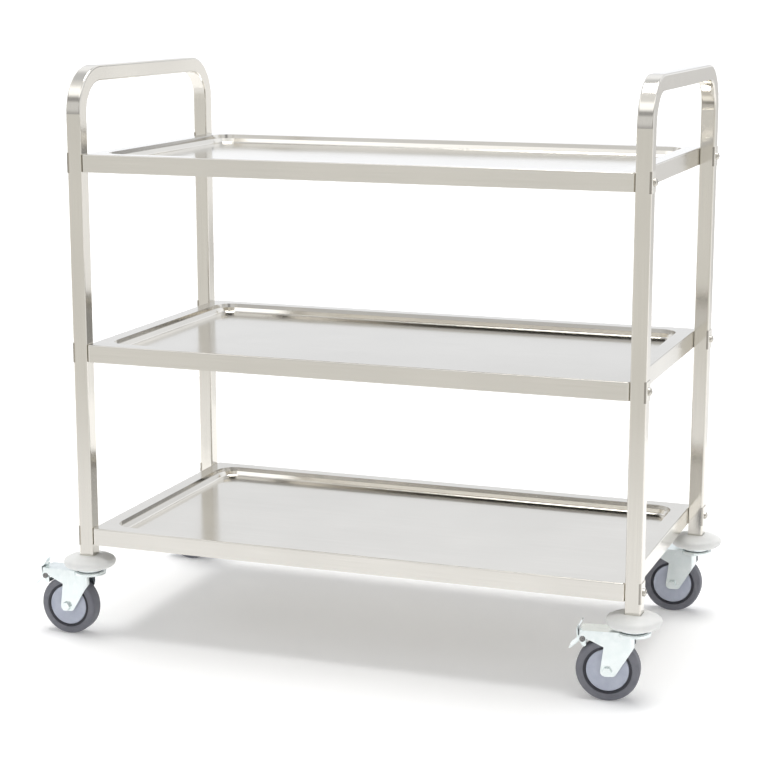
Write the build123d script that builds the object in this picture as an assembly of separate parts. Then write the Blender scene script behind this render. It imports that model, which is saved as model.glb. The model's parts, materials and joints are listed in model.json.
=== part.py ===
from build123d import *
from math import atan2, cos, degrees, hypot, radians, sin
import os

# Food service trolley: three pressed stainless trays bolted between two bent-tube end frames,
# on four swivel casters, the two front ones with a foot brake.
# Units are millimetres. +Z is up, the front long side faces -Y, and the floor is at Z = 0.
# The origin is on the floor, below the middle of everything the trolley occupies at rest.

# ---------------------------------------------------------------- overall sizes
frame_length = 950.0          # over the outer faces of the two end frames, along X
frame_depth = 495.0           # over the outer faces of the legs, along Y
handle_height = 942.0         # floor to the top of the handle bars
top_rim_height = 804.0        # floor to the rim of the top tray
tray_pitch = 308.5            # rim to rim

# ---------------------------------------------------------------- end frames
tube_size = 25.0              # square tube, outside
tube_wall = 1.2
tube_corner_radius = 3.0
handle_bend_radius = 62.5     # of the tube's centre line

# ---------------------------------------------------------------- trays
sheet = 1.0                   # tray sheet thickness
apron_height = 28.5
apron_corner_radius = 6.0
apron_edge_radius = 2.0
hem_width = 9.0               # return flange under the apron
rim_width = 25.0
recess_corner_radius = 32.0
recess_depth = 14.0
bead_depth = 6.5              # rim to the bead's step
bead_step = 2.4               # flat width of the step
upper_draft = 0.8             # how far the upper wall leans in
lower_draft = 4.5             # how far the lower wall leans in
deck_cove_radius = 3.5
bead_edge_radius = 0.8

# ---------------------------------------------------------------- leg bolts
bolt_diameter = 6.0
bolt_clearance = 0.3          # radial, in legs, trays, saddles and washers
bolt_socket = 4.0             # across the flats of the key's socket
bolt_socket_depth = 2.4
thread_clearance = 0.05       # radial, between a shank and the thread it is screwed into
bolt_head_diameter = 12.0
bolt_head_height = 4.5
bolt_head_rounding = 3.6
bolt_tail = 2.0               # shank left past the nut
nut_across_flats = 10.0
nut_height = 5.0
washer_diameter = 12.0
washer_thickness = 1.6
saddle_sheet = 1.2
saddle_height = 32.0
saddle_wrap = 3.2             # how far a saddle's lips reach round the leg

# ---------------------------------------------------------------- leg plugs and stems
plug_length = 24.0
plug_clearance = 0.15         # per side, inside the tube
stem_diameter = 12.0
stem_clearance = 0.05         # radial, in every hole that the stem runs through
stem_engagement = 20.0        # length screwed into the plug
stem_head_diameter = 20.0
stem_head_height = 3.2
stem_head_rounding = 1.4
stem_head_gap = 0.4           # axial play under the fork's crown

# ---------------------------------------------------------------- bumpers
bumper_radius = 43.0
bumper_height = 20.5
bumper_edge_radius = 8.5      # rounds the lower edge, up to the widest line
bumper_shoulder_radius = 6.5  # rounds the upper edge
bumper_shoulder_angle = 60.0  # degrees turned before the dome starts
bumper_dome_rise = 0.95       # how far the dome bows out from a straight cone
bumper_crown_margin = 8.5     # flat top, past the leg's faces
bumper_pocket_depth = 2.0     # square seat for the leg
bumper_pocket_clearance = 0.6

# ---------------------------------------------------------------- swivel heads
head_radius = 22.0
head_plate = 2.5
head_boss_height = 1.8        # from the plate up to the bumper
head_boss_radius = 13.6
head_boss_foot = 0.8          # size of the slope at the foot of the boss
head_skirt_gap = 0.8          # above the fork's crown
head_skirt_wall = 2.0
ball_diameter = 4.0
ball_count = 12
ball_pitch_radius = 15.5
ball_clearance = 0.06
race_depth = 0.7

# ---------------------------------------------------------------- wheels
wheel_diameter = 98.0
tyre_width = 26.0
tyre_edge_radius = 4.5
tyre_flare = 1.5              # height over which the tyre widens from the rim
rim_radius = 37.5             # where the tyre starts
rim_width_over = 24.0
rim_bead = 4.0                # radial thickness of the rim's barrel
web_thickness = 6.0
hub_radius = 8.5
hub_end_gap = 0.6             # between the hub's end and the fork
cover_radius = 33.0
cover_thickness = 1.6
cover_setback = 0.6           # behind the rim's side faces
cover_rounding = 0.8
cover_hub_clearance = 0.1     # radial
axle_diameter = 8.0
axle_clearance = 0.05         # radial
axle_head_across_flats = 13.0
axle_head_height = 5.3
axle_nut_height = 6.5
axle_tail = 1.5
sleeve_diameter = 12.0
sleeve_end_gap = 0.1

# ---------------------------------------------------------------- forks
caster_trail = 37.0           # kingpin axis to axle
fork_crown_gap = 11.0         # tyre to the underside of the crown
fork_sheet = 2.5
fork_inner_width = 30.0
fork_front_reach = 3.0        # front of the fork legs ahead of the kingpin axis
fork_front_radius = 8.0       # how the legs turn in at the front
fork_front_slot = 16.0        # gap between the two turned-in edges
fork_crown_radius = 27.0
fork_crown_skirt = 3.0
fork_crown_rounding = 2.0
fork_tyre_gap = 3.0           # between the turned-in edges and the tyre
fork_toe_drop = 8.0           # below the axle
fork_toe_half = 11.5          # half the width of the toe
fork_toe_radius = 7.0
fork_front_depth = 23.0       # below the crown's top, where the front edge starts to slope back
fork_notch_depth = 24.5       # below the crown's top, the notch behind each leg
fork_notch_back = 6.1         # behind the axle
fork_shoulder = (22.0, 16.5)  # behind the axle and below the crown's top, with no brake
fork_shoulder_top = 10.0      # behind the axle, with no brake
brake_arm_reach = 43.0        # behind the axle
brake_arm_depth = 8.5         # below the crown's top, at the arm's end
brake_ear_radius = 5.0        # round ear that the pin runs through
brake_arm_root = (26.0, 15.5)  # behind the axle and below the crown's top

# ---------------------------------------------------------------- foot brakes
brake_pivot_back = 38.5       # behind the axle
brake_pivot_drop = 13.5       # below the top of the fork
brake_pin_diameter = 6.0
brake_pin_clearance = 0.06    # radial, in the pedal
pin_head_diameter = 9.0
pin_head_height = 1.8
pin_head_rounding = 1.0
pedal_sheet = 2.0
pedal_hub_radius = 5.0
pedal_side_gap = 0.5          # between a pedal cheek and a fork arm
pedal_travel = 25.0           # degrees from released to locked
pedal_foot_root = (-6.0, -4.0)  # (X, Z) from the pivot, as for the tab's points below
pedal_tab_root = (-8.0, 3.0)
pedal_tab_bend = (-8.8, 14.0)
pedal_tab_tip = (-2.0, 26.0)
pedal_tab_narrowing = 8.5     # per side
shoe_diameter = 6.0
shoe_gap = 0.35               # left to the tyre when locked, in the solid model
foot_length = 26.0
foot_slope = 40.0             # degrees below the horizontal
spring_sheet = 0.8
spring_width = 18.0
spring_gap = 0.15             # over the pedal's hub
spring_root = 31.0            # ahead of the pivot
spring_bend = 12.0            # ahead of the pivot
spring_end = -2.5

# ---------------------------------------------------------------- where the casters stand
caster_heading = {"front_left": 0.0, "front_right": 7.0, "back_left": 0.0, "back_right": 3.0}
braked = ("front_left", "front_right")

# ---------------------------------------------------------------- worked out from the sizes above
wheel_radius = wheel_diameter / 2
fork_outer_width = fork_inner_width + 2 * fork_sheet
fork_crown_bottom = wheel_diameter + fork_crown_gap
fork_height = fork_crown_bottom + fork_sheet
leg_inset = tube_size / 2
pedal_reach = brake_pivot_back + foot_length * cos(radians(foot_slope))
middle_x = (caster_trail + pedal_reach - bumper_radius) / 2
leg_x = {"left": middle_x - frame_length / 2 + leg_inset, "right": middle_x + frame_length / 2 - leg_inset}
leg_y = {"front": -frame_depth / 2 + leg_inset, "back": frame_depth / 2 - leg_inset}
tray_rims = {
    "top": top_rim_height,
    "middle": top_rim_height - tray_pitch,
    "bottom": top_rim_height - 2 * tray_pitch,
}
tray_length = frame_length - 2 * tube_size
bolt_drop = apron_height / 2
head_bottom = fork_height + ball_diameter - 2 * race_depth + 2 * ball_clearance
head_plate_top = head_bottom + head_plate
bumper_bottom = head_plate_top + head_boss_height
bumper_crown_radius = tube_size / 2 + bumper_crown_margin
leg_foot_height = bumper_bottom + bumper_height - bumper_pocket_depth
axle_z = wheel_radius
brake_pivot_rise = fork_height - brake_pivot_drop - axle_z
brake_pivot = (-caster_trail - brake_pivot_back, axle_z + brake_pivot_rise)


# ---------------------------------------------------------------- shared shapes
def cylinder_z(radius, bottom, top, x=0.0, y=0.0):
    return Pos(x, y, (bottom + top) / 2) * Cylinder(radius, top - bottom)


def cylinder_y(radius, start, end, x=0.0, z=0.0):
    return Pos(x, (start + end) / 2, z) * Rot(90, 0, 0) * Cylinder(radius, end - start)


def cylinder_x(radius, start, end, y=0.0, z=0.0):
    return Pos((start + end) / 2, y, z) * Rot(0, 90, 0) * Cylinder(radius, end - start)


def block(x_range, y_range, z_range):
    size = [high - low for low, high in (x_range, y_range, z_range)]
    middle = [(high + low) / 2 for low, high in (x_range, y_range, z_range)]
    return Pos(*middle) * Box(*size)


def rounded_plate(length, width, radius, bottom, top, x=0.0):
    face = Pos(x, 0, bottom) * RectangleRounded(length, width, radius)
    return extrude(face, top - bottom)


def hexagon_x(across_flats, start, end, y, z):
    radius = across_flats / 2 / cos(radians(30))
    face = Pos(start, y, z) * Rot(0, 90, 0) * RegularPolygon(radius, 6)
    return extrude(face, end - start, dir=(1, 0, 0))


def hexagon_y(across_flats, start, end, x, z):
    radius = across_flats / 2 / cos(radians(30))
    face = Pos(x, start, z) * Rot(90, 0, 0) * RegularPolygon(radius, 6)
    return extrude(face, end - start, dir=(0, 1, 0))


def side_outline(points, half_width):
    """A closed outline in the XZ plane, drawn out to both sides of Y = 0."""
    face = make_face(Polyline(*[(x, 0, z) for x, z in points], close=True))
    return extrude(face, half_width, both=True, dir=(0, 1, 0))


def turned(points, arcs=()):
    """A body of revolution about Z from (radius, height) points, with arcs through a middle point."""
    edges = []
    for index, start in enumerate(points):
        end = points[(index + 1) % len(points)]
        via = dict(arcs).get(index)
        start_point = (start[0], 0, start[1])
        end_point = (end[0], 0, end[1])
        if via is None:
            edges.append(Line(start_point, end_point))
        else:
            edges.append(ThreePointArc(start_point, (via[0], 0, via[1]), end_point))
    return revolve(make_face(edges), Axis.Z)


# ---------------------------------------------------------------- end frames
def tube_section(size, radius, x, y, z):
    return Pos(x, y, z) * RectangleRounded(size, size, radius)


def handle_path(x):
    """The tube's centre line: up the front leg, over the handle, down the back leg."""
    front, back = leg_y["front"], leg_y["back"]
    top = handle_height - tube_size / 2
    points = [(x, front, leg_foot_height), (x, front, top), (x, back, top), (x, back, leg_foot_height)]
    return FilletPolyline(*points, radius=handle_bend_radius)


def end_frame(side):
    x = leg_x[side]
    path = handle_path(x)
    front = leg_y["front"]
    outer = sweep(tube_section(tube_size, tube_corner_radius, x, front, leg_foot_height), path=path)
    inner_size = tube_size - 2 * tube_wall
    inner_radius = tube_corner_radius - tube_wall
    inner = sweep(tube_section(inner_size, inner_radius, x, front, leg_foot_height), path=path)
    frame = outer - inner
    for y in leg_y.values():
        for rim in tray_rims.values():
            hole_radius = bolt_diameter / 2 + bolt_clearance
            frame -= cylinder_x(hole_radius, x - tube_size, x + tube_size, y, rim - bolt_drop)
    return frame


# ---------------------------------------------------------------- trays
def recess_form(rim, grow, overrun):
    """The recess as a solid, grown by the sheet's thickness for the underside."""
    length = tray_length - 2 * rim_width + 2 * grow
    width = frame_depth - 2 * rim_width + 2 * grow
    corner = recess_corner_radius + grow
    step_z = rim - bead_depth - grow
    deck_z = rim - recess_depth - grow
    inset = upper_draft + bead_step

    def section(offset, z):
        outline = RectangleRounded(length - 2 * offset, width - 2 * offset, corner - offset)
        return Pos(middle_x, 0, z) * outline

    upper = loft([section(0, rim), section(upper_draft, step_z)])
    lower = loft([section(inset, step_z), section(inset + lower_draft, deck_z)])
    form = upper + lower
    deck_edges = form.faces().sort_by(Axis.Z)[0].edges()
    form = fillet(deck_edges, deck_cove_radius + grow)
    if overrun:
        form += extrude(section(0, rim), overrun)
    return form


def tray(rim):
    bottom = rim - apron_height
    blank = rounded_plate(tray_length, frame_depth, apron_corner_radius, bottom, rim, middle_x)
    blank = fillet(blank.faces().sort_by(Axis.Z)[-1].edges(), apron_edge_radius)
    inside = rounded_plate(
        tray_length - 2 * sheet,
        frame_depth - 2 * sheet,
        apron_corner_radius - sheet,
        bottom + sheet,
        rim - sheet,
        middle_x,
    )
    inside -= recess_form(rim, sheet, 0)
    mouth = rounded_plate(
        tray_length - 2 * hem_width,
        frame_depth - 2 * hem_width,
        apron_corner_radius,
        bottom,
        bottom + sheet,
        middle_x,
    )
    pressed = blank - inside - mouth - recess_form(rim, 0, sheet)
    for y in leg_y.values():
        hole_radius = bolt_diameter / 2 + bolt_clearance
        pressed -= cylinder_x(hole_radius, leg_x["left"], leg_x["right"], y, rim - bolt_drop)
    return pressed


# ---------------------------------------------------------------- leg bolts
def leg_joints():
    """Where each leg bolt sits: the outer face of its leg, which way is out, and its Y and Z."""
    places = []
    for side, outward in (("left", -1), ("right", 1)):
        for y in leg_y.values():
            for rim in tray_rims.values():
                places.append((leg_x[side] + outward * tube_size / 2, outward, y, rim - bolt_drop))
    return places


def on_leg(shape, face_x, outward, y, z):
    """Places a shape drawn with its outward direction along +X and its leg's outer face at X = 0."""
    turn = 0 if outward > 0 else 180
    return Pos(face_x, y, z) * Rot(0, 0, turn) * shape


def leg_bolt():
    reach = tube_size + sheet + washer_thickness + nut_height + bolt_tail
    shank = cylinder_x(bolt_diameter / 2, -reach, saddle_sheet)
    head = cylinder_x(bolt_head_diameter / 2, saddle_sheet, saddle_sheet + bolt_head_height)
    head = fillet(head.edges().sort_by(Axis.X)[-1], bolt_head_rounding)
    crown = saddle_sheet + bolt_head_height
    socket = hexagon_x(bolt_socket, crown - bolt_socket_depth, crown + 1, 0, 0)
    return shank + head - socket


def leg_washer():
    start = -tube_size - sheet - washer_thickness
    ring = cylinder_x(washer_diameter / 2, start, start + washer_thickness)
    return ring - cylinder_x(bolt_diameter / 2 + bolt_clearance, start - 1, start + washer_thickness + 1)


def leg_nut():
    end = -tube_size - sheet - washer_thickness
    nut = hexagon_x(nut_across_flats, end - nut_height, end, 0, 0)
    return nut - cylinder_x(bolt_diameter / 2 + thread_clearance, end - nut_height - 1, end + 1)


def leg_saddle():
    """A thin channel of sheet that spreads a bolt head's load over the leg's outer corners."""
    outer_width = tube_size + 2 * saddle_sheet
    half_height = saddle_height / 2
    channel = Box(saddle_wrap + saddle_sheet, outer_width, saddle_height)
    channel = Pos((saddle_sheet - saddle_wrap) / 2, 0, 0) * channel
    outer_corners = channel.edges().filter_by(Axis.Z).sort_by(Axis.X)[-2:]
    channel = fillet(outer_corners, tube_corner_radius + saddle_sheet)
    bar = rounded_plate(tube_size, tube_size, tube_corner_radius, -half_height, half_height, -tube_size / 2)
    hole = cylinder_x(bolt_diameter / 2 + bolt_clearance, -saddle_wrap, saddle_sheet + 1)
    return channel - bar - hole


# ---------------------------------------------------------------- caster pieces that stay with the leg
def leg_plug():
    side = tube_size - 2 * tube_wall - 2 * plug_clearance
    radius = tube_corner_radius - tube_wall
    plug = rounded_plate(side, side, radius, leg_foot_height, leg_foot_height + plug_length)
    thread_radius = stem_diameter / 2 + thread_clearance
    return plug - cylinder_z(thread_radius, leg_foot_height - 1, leg_foot_height + plug_length + 1)


def caster_stem():
    head_top = fork_crown_bottom - stem_head_gap
    head = cylinder_z(stem_head_diameter / 2, head_top - stem_head_height, head_top)
    head = fillet(head.edges().sort_by(Axis.Z)[0], stem_head_rounding)
    shank = cylinder_z(stem_diameter / 2, head_top, leg_foot_height + stem_engagement)
    shank = chamfer(shank.edges().sort_by(Axis.Z)[-1], 1.0)
    return head + shank


def bumper():
    top = bumper_bottom + bumper_height
    bore = stem_diameter / 2 + stem_clearance
    widest = bumper_bottom + bumper_edge_radius
    edge_centre = bumper_radius - bumper_edge_radius
    shoulder_centre = bumper_radius - bumper_shoulder_radius

    def on_shoulder(angle):
        turn = radians(angle)
        radius = bumper_shoulder_radius
        return shoulder_centre + radius * cos(turn), widest + radius * sin(turn)

    dome_start = on_shoulder(bumper_shoulder_angle)
    dome_angle = atan2(top - dome_start[1], dome_start[0] - bumper_crown_radius)
    dome_middle = (
        (dome_start[0] + bumper_crown_radius) / 2 + bumper_dome_rise * sin(dome_angle),
        (dome_start[1] + top) / 2 + bumper_dome_rise * cos(dome_angle),
    )
    edge_middle = (
        edge_centre + bumper_edge_radius * cos(radians(45)),
        widest - bumper_edge_radius * sin(radians(45)),
    )
    points = [
        (bore, bumper_bottom),
        (edge_centre, bumper_bottom),
        (bumper_radius, widest),
        dome_start,
        (bumper_crown_radius, top),
        (bore, top),
    ]
    disc = turned(points, {1: edge_middle, 2: on_shoulder(bumper_shoulder_angle / 2), 3: dome_middle})
    seat = tube_size + 2 * bumper_pocket_clearance
    pocket = rounded_plate(seat, seat, tube_corner_radius, leg_foot_height, top + 1)
    return disc - pocket


def race_groove(plane_z, side):
    """The ring cut into a race by its balls; side is +1 for a groove that opens downwards."""
    centre_z = plane_z - side * (ball_diameter / 2 - race_depth)
    ring = Torus(ball_pitch_radius, ball_diameter / 2 + ball_clearance)
    return Pos(0, 0, centre_z) * ring


def swivel_head():
    bore = stem_diameter / 2 + stem_clearance
    skirt_bottom = fork_height + head_skirt_gap
    points = [
        (bore, head_bottom),
        (head_radius - head_skirt_wall, head_bottom),
        (head_radius - head_skirt_wall, skirt_bottom),
        (head_radius, skirt_bottom),
        (head_radius, head_plate_top),
        (head_boss_radius + head_boss_foot, head_plate_top),
        (head_boss_radius, head_plate_top + head_boss_foot),
        (head_boss_radius, bumper_bottom),
        (bore, bumper_bottom),
    ]
    return turned(points) - race_groove(head_bottom, 1)


def swivel_ball_ring():
    centre_z = (fork_height + head_bottom) / 2
    balls = []
    for index in range(ball_count):
        angle = radians(360 * index / ball_count)
        place = Pos(ball_pitch_radius * cos(angle), ball_pitch_radius * sin(angle), centre_z)
        balls.append(place * Sphere(ball_diameter / 2))
    return balls


# ---------------------------------------------------------------- forks
def fork_profile(with_brake):
    """The side view of the fork legs, as (X, Z) from the kingpin axis and the floor."""
    axle_x = -caster_trail
    outline = [
        (axle_x - fork_toe_half, axle_z - fork_toe_drop),
        (axle_x + fork_toe_half, axle_z - fork_toe_drop),
        (fork_front_reach, fork_height - fork_front_depth),
        (fork_front_reach, fork_height),
    ]
    if with_brake:
        arm_end = axle_x - brake_arm_reach
        outline += [
            (arm_end, fork_height),
            (arm_end, fork_height - brake_arm_depth),
            (axle_x - brake_arm_root[0], fork_height - brake_arm_root[1]),
        ]
    else:
        outline += [
            (axle_x - fork_shoulder_top, fork_height),
            (axle_x - fork_shoulder[0], fork_height - fork_shoulder[1]),
        ]
    return outline + [(axle_x - fork_notch_back, fork_height - fork_notch_depth)]


def fork(with_brake):
    crown_half = fork_outer_width / 2
    front = fork_front_reach
    back = -caster_trail - brake_arm_reach - fork_sheet
    toe_z = axle_z - fork_toe_drop

    def channel(inset, bottom, top):
        """A plan view of the fork with its two front corners turned in, as a prism."""
        solid = block((back, front - inset), (-crown_half + inset, crown_half - inset), (bottom, top))
        corners = solid.edges().filter_by(Axis.Z).sort_by(Axis.X)[-2:]
        return fillet(corners, fork_front_radius - inset)

    shell = channel(0, toe_z, fork_height) - channel(fork_sheet, toe_z - 1, fork_crown_bottom)
    profile = side_outline(fork_profile(with_brake), fork_outer_width)
    toes = profile.edges().filter_by(Axis.Y).sort_by(Axis.Z)[:2]
    profile = fillet(toes, fork_toe_radius)
    if with_brake:
        profile += cylinder_y(brake_ear_radius, -fork_outer_width, fork_outer_width, *brake_pivot)
    legs = shell & profile
    slot = block(
        (front - fork_front_radius, front + 1),
        (-fork_front_slot / 2, fork_front_slot / 2),
        (toe_z - 1, fork_crown_bottom - fork_crown_skirt),
    )
    legs -= slot
    crown = cylinder_z(fork_crown_radius, fork_crown_bottom - fork_crown_skirt, fork_height)
    crown = fillet(crown.edges().sort_by(Axis.Z)[-1], fork_crown_rounding)
    crown -= cylinder_z(fork_crown_radius - fork_sheet, toe_z, fork_crown_bottom)
    behind = block((back, -head_radius), (-crown_half + fork_sheet, crown_half - fork_sheet),
                   (toe_z, fork_crown_bottom))
    whole = legs + crown - behind
    whole -= cylinder_y(wheel_radius + fork_tyre_gap, -fork_inner_width / 2, fork_inner_width / 2,
                        -caster_trail, axle_z)
    whole -= cylinder_z(stem_head_diameter / 2 + stem_head_gap, toe_z, fork_crown_bottom)
    whole -= cylinder_z(stem_diameter / 2 + stem_clearance, toe_z, fork_height + 1)
    whole -= race_groove(fork_height, -1)
    whole -= cylinder_y(axle_diameter / 2 + axle_clearance, -fork_outer_width, fork_outer_width,
                        -caster_trail, axle_z)
    if with_brake:
        whole -= cylinder_y(brake_pin_diameter / 2 + brake_pin_clearance, -fork_outer_width,
                            fork_outer_width, *brake_pivot)
    return whole


# ---------------------------------------------------------------- wheels, drawn about the axle
def wheel_rim():
    half = rim_width_over / 2
    bore = sleeve_diameter / 2 + axle_clearance
    hub_half = fork_inner_width / 2 - hub_end_gap
    web_half = web_thickness / 2
    inner = rim_radius - rim_bead
    half_outline = [
        (bore, hub_half), (hub_radius, hub_half), (hub_radius, web_half), (inner, web_half),
        (inner, half), (rim_radius, half),
    ]
    mirrored = [(radius, -y) for radius, y in reversed(half_outline)]
    return turned(half_outline + mirrored)


def tyre():
    half = tyre_width / 2
    rim_half = rim_width_over / 2
    crown = wheel_radius
    shoulder = crown - tyre_edge_radius
    bulge = tyre_edge_radius * (1 - cos(radians(45)))
    points = [
        (rim_radius, -rim_half), (rim_radius + tyre_flare, -half), (shoulder, -half),
        (crown, -half + tyre_edge_radius), (crown, half - tyre_edge_radius), (shoulder, half),
        (rim_radius + tyre_flare, half), (rim_radius, rim_half),
    ]
    arcs = {2: (crown - bulge, -half + bulge), 4: (crown - bulge, half - bulge)}
    return turned(points, arcs)


def wheel_covers():
    outer = rim_width_over / 2 - cover_setback
    discs = []
    for side in (-1, 1):
        low = min(side * outer, side * (outer - cover_thickness))
        disc = cylinder_z(cover_radius, low, low + cover_thickness)
        rim_edge = disc.edges().sort_by(Axis.Z)[-1 if side > 0 else 0]
        disc = fillet(rim_edge, cover_rounding)
        discs.append(disc - cylinder_z(hub_radius + cover_hub_clearance, -tyre_width, tyre_width))
    return discs


def along_axle(shape):
    """Turns a piece drawn about Z so that it lies about the caster's axle."""
    return Pos(-caster_trail, 0, axle_z) * Rot(90, 0, 0) * shape


def axle_bolt():
    half = fork_outer_width / 2
    end = half + axle_nut_height + axle_tail
    shank = cylinder_y(axle_diameter / 2, -half, end, -caster_trail, axle_z)
    head = hexagon_y(axle_head_across_flats, -half - axle_head_height, -half, -caster_trail, axle_z)
    return shank + head


def axle_nut():
    half = fork_outer_width / 2
    nut = hexagon_y(axle_head_across_flats, half, half + axle_nut_height, -caster_trail, axle_z)
    bore = axle_diameter / 2 + thread_clearance
    return nut - cylinder_y(bore, half - 1, half + axle_nut_height + 1, -caster_trail, axle_z)


def axle_sleeve():
    half = fork_inner_width / 2 - sleeve_end_gap
    sleeve = cylinder_y(sleeve_diameter / 2, -half, half, -caster_trail, axle_z)
    bore = axle_diameter / 2 + axle_clearance
    return sleeve - cylinder_y(bore, -half - 1, half + 1, -caster_trail, axle_z)


# ---------------------------------------------------------------- foot brakes, drawn about the pivot
def at_pivot(shape):
    return Pos(brake_pivot[0], 0, brake_pivot[1]) * shape


def bar_between(start, end, thickness, half_width):
    """A flat strip whose centre line runs between two (X, Z) points."""
    length = hypot(end[0] - start[0], end[1] - start[1])
    angle = degrees(atan2(end[1] - start[1], end[0] - start[0]))
    strip = Pos(length / 2, 0, 0) * Box(length, 2 * half_width, thickness)
    return Pos(start[0], 0, start[1]) * Rot(0, -angle, 0) * strip


def brake_pedal():
    half = fork_inner_width / 2 - pedal_side_gap
    pivot_to_axle = hypot(brake_pivot_back, brake_pivot_rise)
    shoe_radius = shoe_diameter / 2
    shoe_orbit = pivot_to_axle - wheel_radius - shoe_gap - shoe_radius
    shoe_angle = atan2(-brake_pivot_rise, brake_pivot_back) - radians(pedal_travel)
    shoe = (shoe_orbit * cos(shoe_angle), shoe_orbit * sin(shoe_angle))
    foot_end = (-foot_length * cos(radians(foot_slope)), -foot_length * sin(radians(foot_slope)))
    corners = [(0, 0, pedal_hub_radius), (*shoe, shoe_radius), (*pedal_tab_root, pedal_sheet / 2)]
    cheek = make_hull([edge for x, z, radius in corners for edge in (Pos(x, z) * Circle(radius)).edges()])
    pedal = extrude(Rot(90, 0, 0) * cheek, half, both=True)
    pedal -= Box(4 * foot_length, 2 * (half - pedal_sheet), 4 * foot_length)
    pedal += bar_between(pedal_foot_root, foot_end, pedal_sheet, half)
    pedal += bar_between(pedal_foot_root, pedal_tab_root, pedal_sheet, half)
    pedal += bar_between(pedal_tab_root, pedal_tab_bend, pedal_sheet, half)
    pedal += cylinder_y(pedal_sheet / 2, -half, half, *pedal_tab_bend)
    pedal += bar_between(pedal_tab_bend, pedal_tab_tip, pedal_sheet, half - pedal_tab_narrowing)
    pedal += cylinder_y(pedal_sheet / 2, -half, half, *pedal_foot_root)
    pedal += cylinder_y(shoe_radius, -half, half, *shoe)
    pedal -= cylinder_y(brake_pin_diameter / 2 + brake_pin_clearance, -half - 1, half + 1)
    return at_pivot(pedal)


def brake_pin():
    half = fork_outer_width / 2
    pin = cylinder_y(brake_pin_diameter / 2, -half, half)
    for side in (-1, 1):
        low = min(side * half, side * (half + pin_head_height))
        head = cylinder_y(pin_head_diameter / 2, low, low + pin_head_height)
        outer_edge = head.edges().sort_by(Axis.Y)[-1 if side > 0 else 0]
        pin += fillet(outer_edge, pin_head_rounding)
    return at_pivot(pin)


def brake_spring():
    """A flat spring under the fork's rear web that bears on the pedal's hub."""
    web = fork_crown_bottom - brake_pivot[1]
    level = web - spring_sheet / 2
    tip = (spring_end, pedal_hub_radius + spring_gap + spring_sheet / 2)
    spring = bar_between((spring_root, level), (spring_bend, level), spring_sheet, spring_width / 2)
    spring += bar_between((spring_bend, level), tip, spring_sheet, spring_width / 2)
    return at_pivot(spring)


# ---------------------------------------------------------------- writing the nodes
os.makedirs("parts", exist_ok=True)


def write(node, shapes):
    solids = []
    for shape in shapes:
        solids += shape.solids()
    export_step(Compound(children=solids) if len(solids) > 1 else solids[0], f"parts/{node}.step")


def standing(corner, shape):
    """Puts a caster piece, drawn about its kingpin axis, under its leg and turns it to its heading."""
    end, side = corner.split("_")
    return Pos(leg_x[side], leg_y[end], 0) * Rot(0, 0, caster_heading[corner]) * shape


def under_leg(corner, shape):
    end, side = corner.split("_")
    return Pos(leg_x[side], leg_y[end], 0) * shape


for side in leg_x:
    write(f"end_frame_{side}", [end_frame(side)])
for level, rim_height in tray_rims.items():
    write(f"tray_{level}", [tray(rim_height)])

fasteners = {
    "leg_bolts": leg_bolt(),
    "leg_bolt_washers": leg_washer(),
    "leg_bolt_nuts": leg_nut(),
    "leg_saddles": leg_saddle(),
}
for name, piece in fasteners.items():
    write(name, [on_leg(piece, *place) for place in leg_joints()])

write("leg_plugs", [under_leg(corner, leg_plug()) for corner in caster_heading])
write("caster_stems", [under_leg(corner, caster_stem()) for corner in caster_heading])
write("swivel_balls", [under_leg(corner, ball) for corner in caster_heading for ball in swivel_ball_ring()])

for corner in caster_heading:
    with_brake = corner in braked
    write(f"bumper_{corner}", [under_leg(corner, bumper())])
    write(f"swivel_head_{corner}", [under_leg(corner, swivel_head())])
    write(f"fork_{corner}", [standing(corner, fork(with_brake))])
    write(f"axle_bolt_{corner}", [standing(corner, axle_bolt())])
    write(f"axle_nut_{corner}", [standing(corner, axle_nut())])
    write(f"axle_sleeve_{corner}", [standing(corner, axle_sleeve())])
    write(f"wheel_rim_{corner}", [standing(corner, along_axle(wheel_rim()))])
    write(f"tyre_{corner}", [standing(corner, along_axle(tyre()))])
    write(f"wheel_covers_{corner}", [standing(corner, along_axle(disc)) for disc in wheel_covers()])
    if with_brake:
        write(f"brake_pedal_{corner}", [standing(corner, brake_pedal())])
        write(f"brake_pin_{corner}", [standing(corner, brake_pin())])
        write(f"brake_spring_{corner}", [standing(corner, brake_spring())])
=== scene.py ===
import bpy
import json
from math import radians
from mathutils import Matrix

# Food service trolley in stainless steel: three pressed trays between two bent-tube end frames,
# on four swivel casters with soft round bumpers, the two front ones with a foot brake.
# Everything is in metres in the part's own frame: +X to the right end, +Y to the back, +Z up.
# Every visible piece is its CAD node as it stands. This script adds the finishes, the studio and the camera.

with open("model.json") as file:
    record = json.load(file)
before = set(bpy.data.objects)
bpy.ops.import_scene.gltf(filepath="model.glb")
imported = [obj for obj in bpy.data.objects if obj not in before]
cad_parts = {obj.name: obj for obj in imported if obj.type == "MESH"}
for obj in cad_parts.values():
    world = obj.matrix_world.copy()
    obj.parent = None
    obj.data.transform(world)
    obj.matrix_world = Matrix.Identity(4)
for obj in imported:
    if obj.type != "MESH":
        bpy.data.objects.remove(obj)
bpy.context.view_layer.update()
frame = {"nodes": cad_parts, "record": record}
nodes = frame["nodes"]
MM = 0.001


# ------------------------------------------------------------------ node and colour helpers
def linear(hex_colour):
    """An sRGB hex colour as the linear RGBA that the shader sockets take."""
    channels = [int(hex_colour[i:i + 2], 16) / 255 for i in (1, 3, 5)]
    return [c / 12.92 if c <= 0.04045 else ((c + 0.055) / 1.055) ** 2.4 for c in channels] + [1.0]


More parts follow.
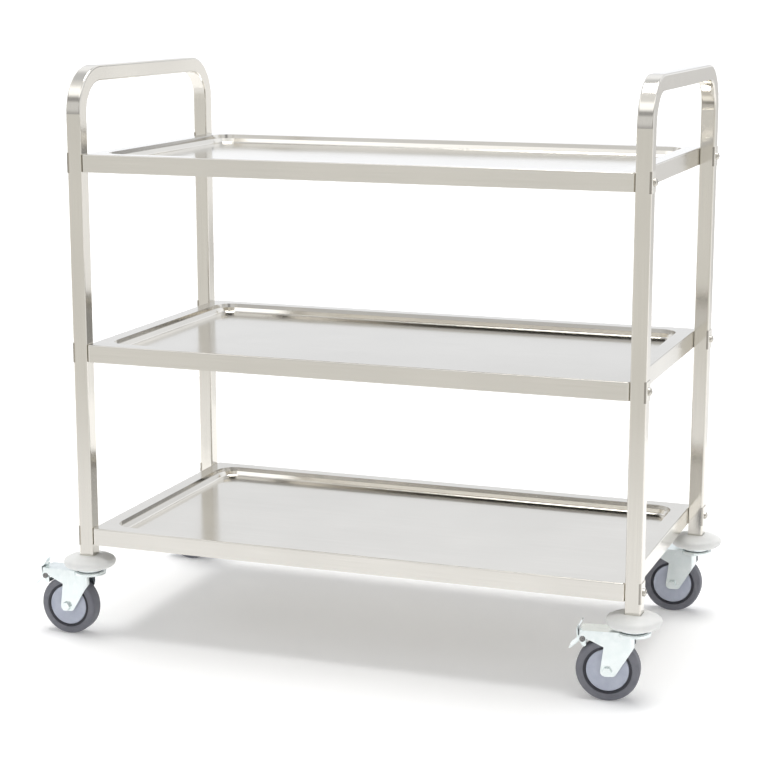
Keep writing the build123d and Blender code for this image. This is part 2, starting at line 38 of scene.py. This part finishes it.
def put(tree, kind, settings=None, **links):
    """Adds a node. settings gives values to sockets, by name or number, and to properties of the node.
    links gives wires to sockets, by name or, as in _6, by number."""
    node = tree.nodes.new(kind)
    for key, value in (settings or {}).items():
        if isinstance(key, int) or key in node.inputs:
            node.inputs[key].default_value = value
        else:
            setattr(node, key, value)
    for key, wire in links.items():
        socket = int(key[1:]) if key[0] == "_" else key
        tree.links.new(wire, node.inputs[socket])
    return node


def ramp(tree, fac, stops):
    """A colour that follows a value through (value, colour) stops."""
    node = put(tree, "ShaderNodeValToRGB", Fac=fac)
    elements = node.color_ramp.elements
    while len(elements) < len(stops):
        elements.new(0.5)
    for element, (place, colour) in zip(elements, stops):
        element.position = place
        element.color = colour
    return node.outputs["Color"]


def remap(tree, value, start, end, low=0.0, high=1.0, smooth=False):
    """Takes start..end to low..high and stays level outside them."""
    settings = {1: start, 2: end, 3: low, 4: high}
    if smooth:
        settings["interpolation_type"] = "SMOOTHSTEP"
    return put(tree, "ShaderNodeMapRange", settings, _0=value).outputs[0]


def grey(value):
    return (value, value, value, 1.0)


def new_material(name):
    """A material with one Principled shader, and the object coordinates that its patterns follow."""
    material = bpy.data.materials.new(name)
    material.use_nodes = True
    tree = material.node_tree
    tree.nodes.clear()
    output = tree.nodes.new("ShaderNodeOutputMaterial")
    shader = tree.nodes.new("ShaderNodeBsdfPrincipled")
    tree.links.new(shader.outputs["BSDF"], output.inputs["Surface"])
    place = put(tree, "ShaderNodeTexCoord").outputs["Object"]
    return material, tree, shader, place


def stretched(tree, place, cell_mm):
    """Object coordinates in cells of the given size in millimetres along X, Y and Z."""
    scale = [1 / (size * MM) for size in cell_mm]
    node = put(tree, "ShaderNodeVectorMath", {"operation": "MULTIPLY", 1: scale}, _0=place)
    return node.outputs["Vector"]


def noise(tree, vector, detail=2.0, rough=0.5):
    settings = {"Scale": 1.0, "Detail": detail, "Roughness": rough}
    return put(tree, "ShaderNodeTexNoise", settings, Vector=vector).outputs["Fac"]


def mix_values(tree, share, first, second):
    """Two values mixed, with the given share of the second."""
    settings = {"data_type": "FLOAT", "Factor": share}
    return put(tree, "ShaderNodeMix", settings, _2=first, _3=second).outputs[0]


def product(tree, first, second):
    return put(tree, "ShaderNodeMath", {"operation": "MULTIPLY"}, _0=first, _1=second).outputs[0]


def mix_in(tree, share, colour, over, how="MIX"):
    """A plain colour laid over a colour wire, by the share that another wire gives."""
    settings = {"data_type": "RGBA", "blend_type": how, 7: colour}
    return put(tree, "ShaderNodeMix", settings, Factor=share, _6=over).outputs[2]


def connect(tree, source, shader, socket):
    tree.links.new(source, shader.inputs[socket])


# ------------------------------------------------------------------ materials
# The marks that belt grinding and rolling leave in the stainless steel.
SCRATCH_WIDE_MM, SCRATCH_LONG_MM, SCRATCH_DEEP_MM = 0.5, 70.0, 0.02
STREAK_WIDE_MM, STREAK_LONG_MM = 2.6, 180.0
CLOUD_MM = 190.0
WAVE_DEEP_MM = 1.0
FINE_DEEP_MM = 0.02         # tooth of plated and turned metal
MOULD_DEEP_MM = 0.05        # texture of a mould's walls
PLASTIC_IOR = 1.5


def brushed_stainless(name, along, colours, roughness, wave_mm, grain_bump, wave_bump):
    """Stainless steel sheet or tube, ground with a belt along its length: fine lengthwise grain that
    blurs reflections across it, a slight warm tint, and the gentle waviness of rolled metal."""
    material, tree, shader, place = new_material(name)
    shader.inputs["Metallic"].default_value = 1.0
    shader.inputs["Anisotropic"].default_value = 0.55
    scratch_cell = [SCRATCH_WIDE_MM] * 3
    scratch_cell["XYZ".index(along)] = SCRATCH_LONG_MM
    grain = noise(tree, stretched(tree, place, scratch_cell), 3.0, 0.6)
    streak_cell = [STREAK_WIDE_MM] * 3
    streak_cell["XYZ".index(along)] = STREAK_LONG_MM
    streaks = noise(tree, stretched(tree, place, streak_cell))
    cloud = noise(tree, stretched(tree, place, [CLOUD_MM] * 3))
    wave = noise(tree, stretched(tree, place, wave_mm), 1.0)
    mixed = mix_values(tree, 0.45, grain, streaks)

    tint = ramp(tree, mixed, ((0.32, linear(colours[0])), (0.68, linear(colours[1]))))
    smoke = ramp(tree, cloud, ((0.3, grey(0.94)), (0.7, grey(1.0))))
    multiply = {"data_type": "RGBA", "blend_type": "MULTIPLY", "Factor": 1.0}
    base = put(tree, "ShaderNodeMix", multiply, _6=tint, _7=smoke)
    connect(tree, base.outputs[2], shader, "Base Color")
    connect(tree, remap(tree, mixed, 0.3, 0.7, *roughness), shader, "Roughness")

    scratched = {"Strength": grain_bump, "Distance": SCRATCH_DEEP_MM * MM}
    ground = put(tree, "ShaderNodeBump", scratched, Height=grain)
    waved = {"Strength": wave_bump, "Distance": WAVE_DEEP_MM * MM}
    rolled = put(tree, "ShaderNodeBump", waved, Height=wave, Normal=ground.outputs[0])
    connect(tree, rolled.outputs[0], shader, "Normal")

    # The tangent is square to the face and to a direction across the grain, so it follows the grain.
    across = {"X": (0.0, 0.2, 1.0), "Z": (1.0, 0.02, 0.0)}[along]
    facing = put(tree, "ShaderNodeNewGeometry").outputs["Normal"]
    lay = put(tree, "ShaderNodeVectorMath", {"operation": "CROSS_PRODUCT", 1: across}, _0=facing)
    lay = put(tree, "ShaderNodeVectorMath", {"operation": "NORMALIZE"}, _0=lay.outputs[0])
    connect(tree, lay.outputs[0], shader, "Tangent")
    return material


def cloudy_metal(name, colours, roughness, mottle_mm):
    """Plated, turned or hardened metal: a shine that is slightly cloudy and has no grain."""
    material, tree, shader, place = new_material(name)
    shader.inputs["Metallic"].default_value = 1.0
    cloud = noise(tree, stretched(tree, place, [mottle_mm] * 3), 4.0, 0.6)
    fine = noise(tree, stretched(tree, place, [0.6] * 3))
    tint = ramp(tree, cloud, ((0.35, linear(colours[0])), (0.65, linear(colours[1]))))
    connect(tree, tint, shader, "Base Color")
    connect(tree, remap(tree, cloud, 0.3, 0.7, *roughness), shader, "Roughness")
    bump = put(tree, "ShaderNodeBump", {"Strength": 0.06, "Distance": FINE_DEEP_MM * MM}, Height=fine)
    connect(tree, bump.outputs[0], shader, "Normal")
    return material


def saddle_with_painted_lip_shade(name, polished_colours, lip_shade_colour):
    """Saddle strips pressed from the same sheet: polished on the broad outer face, with a darker grey painted
    on the lips that face front and back, as painted shade for the gap between saddle and leg that draws a
    thin dark line down each leg's front corner."""
    material = cloudy_metal(name, polished_colours, (0.12, 0.2), 40.0)
    tree = material.node_tree
    shader = tree.nodes["Principled BSDF"]
    facing = put(tree, "ShaderNodeNewGeometry").outputs["Normal"]
    sideways = put(tree, "ShaderNodeSeparateXYZ", _0=facing).outputs["Y"]
    sideways = put(tree, "ShaderNodeMath", {"operation": "ABSOLUTE"}, _0=sideways).outputs[0]
    # Painted shade: the lips that face front and back take a darker grey in place of the shadow in the gap
    # between saddle and leg.
    lip = remap(tree, sideways, 0.5, 0.8)
    polished = shader.inputs["Base Color"].links[0].from_socket
    connect(tree, mix_in(tree, lip, linear(lip_shade_colour), polished), shader, "Base Color")
    return material


def moulded(name, colours, roughness, grain_mm, bump):
    """Moulded plastic or rubber: an even body colour with faint mottling and the mould's fine texture."""
    material, tree, shader, place = new_material(name)
    shader.inputs["IOR"].default_value = PLASTIC_IOR
    cloud = noise(tree, stretched(tree, place, [14.0] * 3), 3.0)
    fine = noise(tree, stretched(tree, place, [grain_mm] * 3), 3.0, 0.6)
    mixed = mix_values(tree, 0.35, cloud, fine)
    tint = ramp(tree, mixed, ((0.35, linear(colours[0])), (0.65, linear(colours[1]))))
    connect(tree, tint, shader, "Base Color")
    connect(tree, remap(tree, mixed, 0.3, 0.7, *roughness), shader, "Roughness")
    relief = put(tree, "ShaderNodeBump", {"Strength": bump, "Distance": MOULD_DEEP_MM * MM}, Height=fine)
    connect(tree, relief.outputs[0], shader, "Normal")
    return material


# Belt-ground sheet: the grain runs along the trays, so decks mirror upright things sharply
# from side to side.
stainless_sheet = brushed_stainless(
    "stainless_sheet_belt_ground", "X", ("#E0DDD6", "#E7E4DE"), (0.10, 0.16), (120.0, 90.0, 60.0), 0.25, 0.02)
# Drawn and polished tube: tighter, brighter reflections with the grain up the legs.
stainless_tube = brushed_stainless(
    "stainless_tube_polished", "Z", ("#DEDAD3", "#E5E2DA"), (0.08, 0.13), (60.0, 60.0, 90.0), 0.2, 0.02)
# Turned and tumbled fasteners: small, clean highlights and darker edges.
stainless_turned = cloudy_metal("stainless_fastener_turned", ("#B4B0A8", "#CFCBC3"), (0.2, 0.3), 3.0)
# Saddle strips round the legs at each tray bolt, with painted shade on their lips.
saddle_steel = saddle_with_painted_lip_shade("stainless_saddle_painted_lip_shade", ("#DCD8D1", "#E4E1DA"), "#A5A19A")
# Bright zinc on pressed steel: almost white, with a cool tint.
zinc = cloudy_metal("zinc_plated_steel_pressed", ("#DFE7E7", "#E9EFEF"), (0.2, 0.27), 9.0)
# Hardened bearing and pin steel: darker grey metal.
bearing = cloudy_metal("bearing_steel_hardened", ("#6C6B6B", "#8B8A88"), (0.22, 0.35), 4.0)
# Moulded PVC bumper: satin light grey that shades softly.
bumper_plastic = moulded("pvc_bumper_moulded", ("#E4E5E3", "#ECECEA"), (0.42, 0.52), 0.9, 0.25)
# Thermoplastic rubber tyre: mid grey, matt, with a dusting of wear.
tyre_rubber = moulded("tpr_tyre_moulded", ("#70717A", "#7E7F86"), (0.55, 0.7), 0.7, 0.4)
# Nylon rim: near black with a blue cast.
rim_nylon = moulded("nylon_rim_moulded", ("#1C1D26", "#282A36"), (0.35, 0.45), 0.7, 0.25)
# Polypropylene wheel cover: blue grey, satin.
cover_plastic = moulded("polypropylene_cover_moulded", ("#B6BCCD", "#C6CBD9"), (0.38, 0.5), 0.8, 0.25)
# Nylon leg plug: black, seen only from below.
plug_nylon = moulded("nylon_plug_moulded", ("#141414", "#1E1E1E"), (0.4, 0.5), 0.7, 0.2)

FINISHES = {
    "stainless_tube": stainless_tube,
    "stainless_sheet": stainless_sheet,
    "stainless_fastener": stainless_turned,
    "zinc_plated_steel": zinc,
    "bearing_steel": bearing,
    "grey_bumper": bumper_plastic,
    "nylon": plug_nylon,
    "grey_tyre": tyre_rubber,
    "black_rim": rim_nylon,
    "grey_cover": cover_plastic,
}


def finish_nodes():
    """Gives each CAD node its finish, by the slot that the record names. The saddles have their own."""
    slots = {row["node"]: row["material_slot"] for row in frame["record"]["subparts"]}
    for name, node in nodes.items():
        node.data.materials.clear()
        node.data.materials.append(saddle_steel if name == "leg_saddles" else FINISHES[slots[name]])


finish_nodes()


# ------------------------------------------------------------------ studio
PAPER = "#F2F2F2"
PAPER_LEVEL = -0.0002           # just under the wheels
PAPER_SIDE = 80.0
FLOOR_GLOW = 0.2                # the paper's own light, which keeps its shadows pale
ROOM_FILL = 0.56                # share of the room's light that reaches matt surfaces
OVERHEAD = 2.3                  # strength of the light above
OVERHEAD_ANGLE = 36             # degrees across, wide enough for soft shadow edges
OVERHEAD_TILT = -6              # degrees
OVERHEAD_COLOUR = (1.0, 0.995, 0.985)
BACKDROP = 1.2                  # what the camera sees behind the paper
SCREEN = 0.3                    # brightness of the dark screen off to the right
COOL = (0.985, 1.0, 1.03)       # tint of the paper behind

# Middle and size of the light on the floor in front and behind. Under the trolley is only paper.
CARD_LEVEL = 0.001
FRONT_CARD = ((0, -20.25, CARD_LEVEL), (80, 39.4))
BACK_CARD = ((10, 20.75, CARD_LEVEL), (60, 38.5))

# Brightness against height above the horizon, as shares of a right angle.
FRONT_TONES = (
    (0.0, 0.45), (0.03, 0.45), (0.06, 0.8), (0.24, 0.8), (0.285, 0.4), (0.35, 0.4),
    (0.43, 1.5), (0.56, 1.6), (0.64, 0.9), (0.8, 0.5), (1.0, 0.6),
)
BACK_TONES = (
    (0.0, 1.12), (0.07, 1.1), (0.12, 0.84), (0.19, 0.95),
    (0.36, 1.15), (0.5, 1.15), (0.62, 0.7), (1.0, 0.6),
)


def plane(name, centre, size, material):
    """A level sheet that belongs to the stage, not to the trolley."""
    x, y, z = centre
    half_x, half_y = size[0] / 2, size[1] / 2
    signs = ((-1, -1), (1, -1), (1, 1), (-1, 1))
    corners = [(x + i * half_x, y + j * half_y, z) for i, j in signs]
    mesh = bpy.data.meshes.new(name)
    mesh.from_pydata(corners, [], [(0, 1, 2, 3)])
    mesh.materials.append(material)
    board = bpy.data.objects.new(name, mesh)
    bpy.context.scene.collection.objects.link(board)
    return board


def studio_floor():
    """White paper floor under the whole set."""
    material, _, shader, _ = new_material("studio_paper")
    shader.inputs["Base Color"].default_value = linear(PAPER)
    shader.inputs["Roughness"].default_value = 0.9
    shader.inputs["Specular IOR Level"].default_value = 0.0
    shader.inputs["Emission Color"].default_value = (1.0, 1.0, 1.0, 1.0)
    shader.inputs["Emission Strength"].default_value = FLOOR_GLOW
    plane("studio_floor", (0, 0, PAPER_LEVEL), (PAPER_SIDE, PAPER_SIDE), material)


def floor_card(name, centre, size, tone_of):
    """A sheet of light just above the paper that only the metal's reflections see."""
    material = bpy.data.materials.new(name)
    material.use_nodes = True
    tree = material.node_tree
    tree.nodes.clear()
    place = put(tree, "ShaderNodeNewGeometry").outputs["Position"]
    axes = put(tree, "ShaderNodeSeparateXYZ", _0=place).outputs
    glow = put(tree, "ShaderNodeEmission", {"Strength": 1.0}, Color=tone_of(tree, axes))
    put(tree, "ShaderNodeOutputMaterial", Surface=glow.outputs[0])
    card = plane(name, centre, size, material)
    for ray in ("camera", "diffuse", "shadow", "transmission", "volume_scatter"):
        setattr(card, "visible_" + ray, False)


def front_tone(tree, axes):
    """White paper near the trolley, then the room's slightly warm grey floor."""
    reach = remap(tree, axes["Y"], -1.0, -2.2)
    return ramp(tree, reach, ((0.0, grey(1.02)), (1.0, (0.80, 0.79, 0.76, 1.0))))


def back_tone(tree, axes):
    """Bright paper sweep behind, dimmer straight behind the trolley than off to its right."""
    far = remap(tree, axes["Y"], 2.2, 4.4, smooth=True)
    slant = put(tree, "ShaderNodeMath", {"operation": "MULTIPLY_ADD", 1: -0.25}, _0=axes["Y"], _2=axes["X"])
    left = remap(tree, slant.outputs[0], 0.8, 0.45, smooth=True)
    dim = product(tree, far, left)
    return ramp(tree, dim, ((0.0, grey(1.06)), (1.0, (0.74, 0.735, 0.73, 1.0))))


def surroundings():
    """The studio as the metal sees it: white paper behind, a softbox high in front, and a dimmer room
    between them."""
    world = bpy.data.worlds.new("studio_room")
    bpy.context.scene.world = world
    world.use_nodes = True
    tree = world.node_tree
    tree.nodes.clear()
    way = put(tree, "ShaderNodeTexCoord").outputs["Generated"]
    x, y, z = put(tree, "ShaderNodeSeparateXYZ", _0=way).outputs
    height = put(tree, "ShaderNodeMath", {"operation": "ARCSINE", "use_clamp": True}, _0=z).outputs[0]
    height = put(tree, "ShaderNodeMath", {"operation": "DIVIDE", 1: radians(90)}, _0=height).outputs[0]
    ahead = ramp(tree, height, [(place, grey(tone)) for place, tone in FRONT_TONES])
    behind = ramp(tree, height, [(place, [tone * c for c in COOL] + [1.0]) for place, tone in BACK_TONES])
    turn = remap(tree, y, 0.05, -0.25, smooth=True)
    room = put(tree, "ShaderNodeMix", {"data_type": "RGBA"}, Factor=turn, _6=behind, _7=ahead).outputs[2]

    # The screen stands between two bearings along X and reaches up from the horizon.
    left_edge = remap(tree, x, 0.42, 0.46, smooth=True)
    right_edge = remap(tree, x, 0.72, 0.62, smooth=True)
    top_edge = remap(tree, z, 0.3, 0.2, smooth=True)
    screened = product(tree, product(tree, left_edge, right_edge), top_edge)
    room = mix_in(tree, screened, grey(SCREEN), room)

    rays = put(tree, "ShaderNodeLightPath").outputs
    soft = mix_in(tree, rays["Is Diffuse Ray"], grey(ROOM_FILL), room, "MULTIPLY")
    picture = mix_in(tree, rays["Is Camera Ray"], grey(BACKDROP), soft)
    light = put(tree, "ShaderNodeBackground", {"Strength": 1.0}, Color=picture)
    put(tree, "ShaderNodeOutputWorld", Surface=light.outputs[0])


def overhead_light():
    """A broad light above, which draws the pale shadow on the paper."""
    lamp = bpy.data.lights.new("overhead_diffuser", "SUN")
    lamp.energy = OVERHEAD
    lamp.angle = radians(OVERHEAD_ANGLE)
    lamp.color = OVERHEAD_COLOUR
    light = bpy.data.objects.new("overhead_diffuser", lamp)
    light.rotation_euler = (radians(OVERHEAD_TILT), 0, 0)
    bpy.context.scene.collection.objects.link(light)


studio_floor()
floor_card("front_floor_card", *FRONT_CARD, front_tone)
floor_card("back_floor_card", *BACK_CARD, back_tone)
surroundings()
overhead_light()

# ------------------------------------------------------------------ camera
CAMERA_PLACE = (1.122, -3.059, 1.0726)
CAMERA_TURN = (78.53, 0.0, 20.11)       # degrees
CAMERA_LENS = 92.79                     # mm on a 36 mm sensor

camera_data = bpy.data.cameras.new("product_camera")
camera_data.sensor_width = 36.0
camera_data.lens = CAMERA_LENS
camera = bpy.data.objects.new("product_camera", camera_data)
camera.location = CAMERA_PLACE
camera.rotation_euler = [radians(angle) for angle in CAMERA_TURN]
bpy.context.scene.collection.objects.link(camera)
bpy.context.scene.camera = camera

bpy.context.scene.view_settings.view_transform = "Standard"
bpy.context.scene.view_settings.look = "None"
